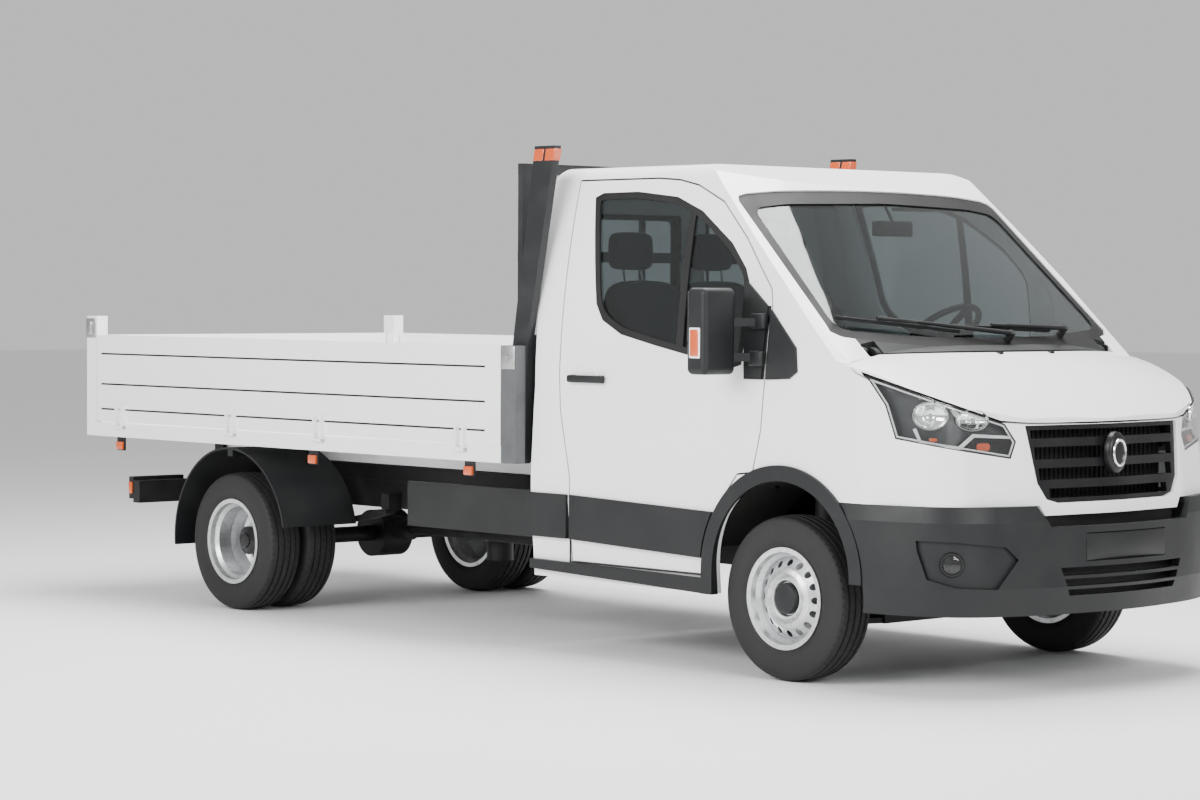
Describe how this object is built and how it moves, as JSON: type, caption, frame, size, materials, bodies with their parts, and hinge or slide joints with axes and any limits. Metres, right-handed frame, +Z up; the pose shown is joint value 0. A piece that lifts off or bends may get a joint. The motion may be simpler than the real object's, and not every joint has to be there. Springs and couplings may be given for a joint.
{
  "type": "drop-side tipper truck",
  "caption": "Light single-cab truck with a three-way drop-side tipping body, twin rear wheels, opening doors and bonnet, steering front wheels and a telescopic tipping ram.",
  "frame": {"origin": "on the ground under the middle of the truck's overall box", "axes": "+X forward to the nose, +Y to the vehicle's left, +Z up"},
  "size_m": [6.3495, 2.474, 2.3299],
  "materials": {
    "white_paint": "gloss",
    "tinted_glass": "gloss",
    "black_plastic": "satin",
    "lamp_plastic": "gloss",
    "seat_cloth": "matt",
    "black_steel": "satin",
    "cast_metal": "matt",
    "tank_plastic": "satin",
    "tyre": "matt",
    "silver_wheel": "satin",
    "ram_paint": "satin",
    "ram_chrome": "polished"
  },
  "bodies": {
    "chassis": {"front_panel": "white_paint", "wing_left": "white_paint", "wing_right": "white_paint", "cab_side_left": "white_paint", "cab_side_right": "white_paint", "cab_roof": "white_paint", "cab_rear": "white_paint", "windscreen": "tinted_glass", "cowl": "black_plastic", "cab_floor": "black_steel", "bumper_front": "black_plastic", "grille": "black_plastic", "headlamp_left": "lamp_plastic", "headlamp_right": "lamp_plastic", "trim_left": "black_plastic", "trim_right": "black_plastic", "dashboard": "black_plastic", "seat_driver": "seat_cloth", "seat_bench": "seat_cloth", "chassis_frame": "black_steel", "engine": "cast_metal", "gearbox": "cast_metal", "propshaft": "black_steel", "rear_axle": "black_steel", "leaf_springs": "black_steel", "front_axle": "black_steel", "fuel_tank": "tank_plastic", "side_panel": "black_steel", "mudguards": "black_plastic", "subframe": "black_steel"},
    "bonnet_lid": {"bonnet": "white_paint"},
    "door_l": {"door_left": "white_paint", "door_glass_left": "tinted_glass", "door_trim_left": "black_plastic", "mirror_left": "black_plastic"},
    "door_r": {"door_right": "white_paint", "door_glass_right": "tinted_glass", "door_trim_right": "black_plastic", "mirror_right": "black_plastic"},
    "steering": {"steering_wheel": "black_plastic"},
    "knuckle_l": {"knuckle_left": "black_steel"},
    "knuckle_r": {"knuckle_right": "black_steel"},
    "front_wheel_l": {"front_tyre_left": "tyre", "front_rim_left": "silver_wheel"},
    "front_wheel_r": {"front_tyre_right": "tyre", "front_rim_right": "silver_wheel"},
    "rear_wheel_l": {"rear_tyres_left": "tyre", "rear_rim_left": "silver_wheel"},
    "rear_wheel_r": {"rear_tyres_right": "tyre", "rear_rim_right": "silver_wheel"},
    "bed": {"bed_floor": "white_paint", "corner_posts": "white_paint", "headboard": "black_steel"},
    "board_l": {"side_board_left": "white_paint"},
    "board_r": {"side_board_right": "white_paint"},
    "gate": {"tailgate": "white_paint"},
    "ram_base": {"ram_barrel": "ram_paint"},
    "ram_tube_1": {"ram_stage_1": "ram_chrome"},
    "ram_tube_2": {"ram_stage_2": "ram_chrome"},
    "ram_top": {"ram_rod": "ram_chrome"}
  },
  "joints": [
    {"name": "tip", "type": "hinge", "parent": "chassis", "child": "bed", "pos_m": [-2.725, 0, 0.8], "axis": [0, -1, 0], "range_deg": [0, 45]},
    {"name": "drop_left", "type": "hinge", "parent": "bed", "child": "board_l", "pos_m": [-1.325, 1.077, 0.915], "axis": [1, 0, 0], "range_deg": [-170, 0]},
    {"name": "drop_right", "type": "hinge", "parent": "bed", "child": "board_r", "pos_m": [-1.325, -1.077, 0.915], "axis": [-1, 0, 0], "range_deg": [-170, 0]},
    {"name": "drop_gate", "type": "hinge", "parent": "bed", "child": "gate", "pos_m": [-3.164, 0, 0.915], "axis": [0, 1, 0], "range_deg": [-170, 0]},
    {"name": "open_left", "type": "hinge", "parent": "chassis", "child": "door_l", "pos_m": [1.86, 0.972, 0.7], "axis": [0, 0.034, -0.9994], "range_deg": [0, 65]},
    {"name": "open_right", "type": "hinge", "parent": "chassis", "child": "door_r", "pos_m": [1.86, -0.972, 0.7], "axis": [0, 0.034, 0.9994], "range_deg": [0, 65]},
    {"name": "open_bonnet", "type": "hinge", "parent": "chassis", "child": "bonnet_lid", "pos_m": [2.37, 0, 1.365], "axis": [0, -1, 0], "range_deg": [0, 50]},
    {"name": "steer_left", "type": "hinge", "parent": "chassis", "child": "knuckle_l", "pos_m": [2.075, 0.695, 0.356], "axis": [0, 0, 1], "range_deg": [-36, 36]},
    {"name": "steer_right", "type": "hinge", "parent": "chassis", "child": "knuckle_r", "pos_m": [2.075, -0.695, 0.356], "axis": [0, 0, 1], "range_deg": [-36, 36]},
    {"name": "steer_wheel", "type": "hinge", "parent": "chassis", "child": "steering", "pos_m": [1.74, 0.42, 1.48], "axis": [-0.6402, 0, 0.7682], "range_deg": [-576.5, 576.5]},
    {"name": "roll_front_left", "type": "hinge", "parent": "knuckle_l", "child": "front_wheel_l", "pos_m": [2.075, 0.868, 0.356], "axis": [0, 1, 0], "continuous": true},
    {"name": "roll_front_right", "type": "hinge", "parent": "knuckle_r", "child": "front_wheel_r", "pos_m": [2.075, -0.868, 0.356], "axis": [0, 1, 0], "continuous": true},
    {"name": "roll_rear_left", "type": "hinge", "parent": "chassis", "child": "rear_wheel_l", "pos_m": [-1.879, 0.798, 0.356], "axis": [0, 1, 0], "continuous": true},
    {"name": "roll_rear_right", "type": "hinge", "parent": "chassis", "child": "rear_wheel_r", "pos_m": [-1.879, -0.798, 0.356], "axis": [0, 1, 0], "continuous": true},
    {"name": "ram_tilt", "type": "hinge", "parent": "chassis", "child": "ram_base", "pos_m": [-1.105, 0.16, 0.495], "axis": [0, -1, 0], "range_deg": [0, 18.28]},
    {"name": "ram_slide_1", "type": "slide", "parent": "ram_base", "child": "ram_tube_1", "axis": [0, 0, 1], "range_m": [0, 0.411]},
    {"name": "ram_slide_2", "type": "slide", "parent": "ram_tube_1", "child": "ram_tube_2", "axis": [0, 0, 1], "range_m": [0, 0.411]},
    {"name": "ram_slide_3", "type": "slide", "parent": "ram_tube_2", "child": "ram_top", "axis": [0, 0, 1], "range_m": [0, 0.411]}
  ],
  "couplings": [
    {"joint": "steer_right", "follows": "steer_left", "ratio": 1},
    {"joint": "steer_wheel", "follows": "steer_left", "ratio": 16},
    {"joint": "ram_tilt", "follows": "tip", "ratio": 0.39296},
    {"joint": "ram_slide_1", "follows": "tip", "m_per_rad": 0.51944},
    {"joint": "ram_slide_2", "follows": "tip", "m_per_rad": 0.51944},
    {"joint": "ram_slide_3", "follows": "tip", "m_per_rad": 0.51944}
  ]
}
